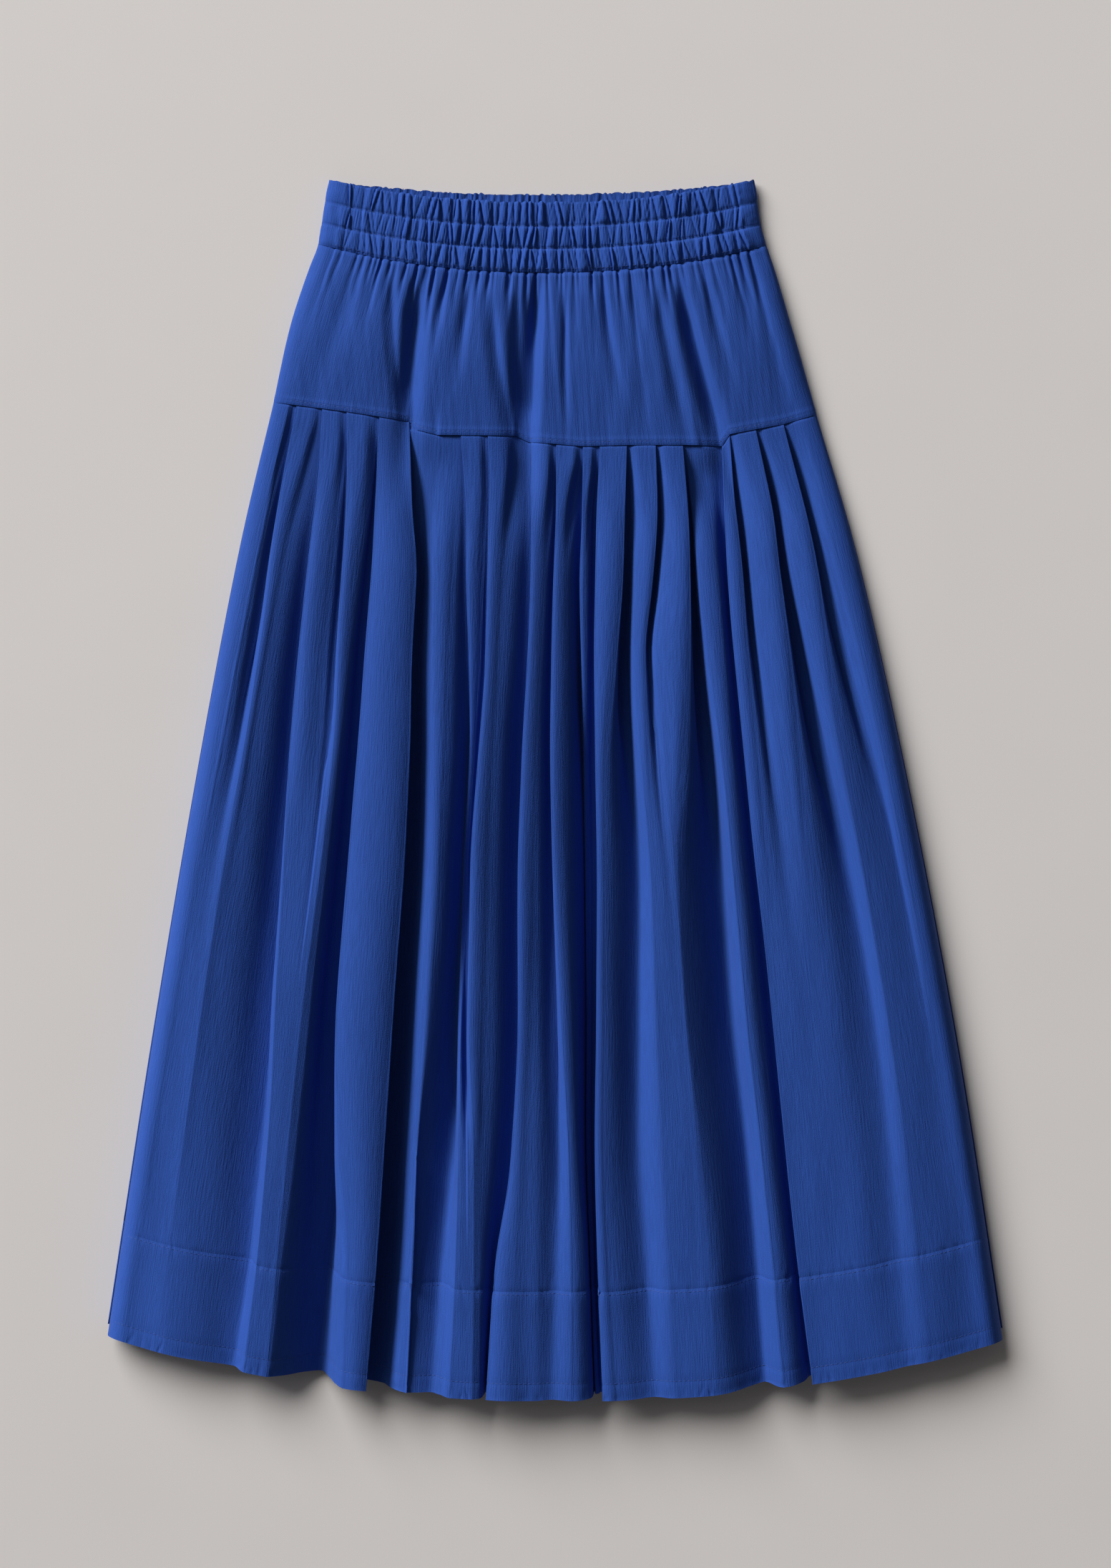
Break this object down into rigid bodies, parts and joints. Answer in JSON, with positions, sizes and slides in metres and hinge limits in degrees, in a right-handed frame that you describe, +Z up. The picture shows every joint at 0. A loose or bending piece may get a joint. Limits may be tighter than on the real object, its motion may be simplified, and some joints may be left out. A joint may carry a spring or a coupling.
{
  "type": "pleated skirt",
  "caption": "Midi skirt laid flat: gathered elastic waistband in stitched channels, gathered yoke, knife pleats opening into soft folds, and a deep hem band.",
  "frame": {"origin": "centre of the skirt's bounding box at its underside, on the surface it lies on", "axes": "+X across the skirt to the right as seen from above, +Y from the hem to the waist, +Z up out of the front"},
  "size_m": [0.661, 0.8998, 0.0384],
  "materials": {
    "waistband_cloth": "matte ribbed weave, topstitched",
    "skirt_cloth": "matte ribbed weave"
  },
  "bodies": {
    "root": {"waistband_front": "waistband_cloth", "waistband_back": "waistband_cloth", "yoke_front": "skirt_cloth", "yoke_back": "skirt_cloth", "skirt_front": "skirt_cloth", "skirt_back": "skirt_cloth", "hem_band_front": "skirt_cloth", "hem_band_back": "skirt_cloth"}
  },
  "joints": []
}
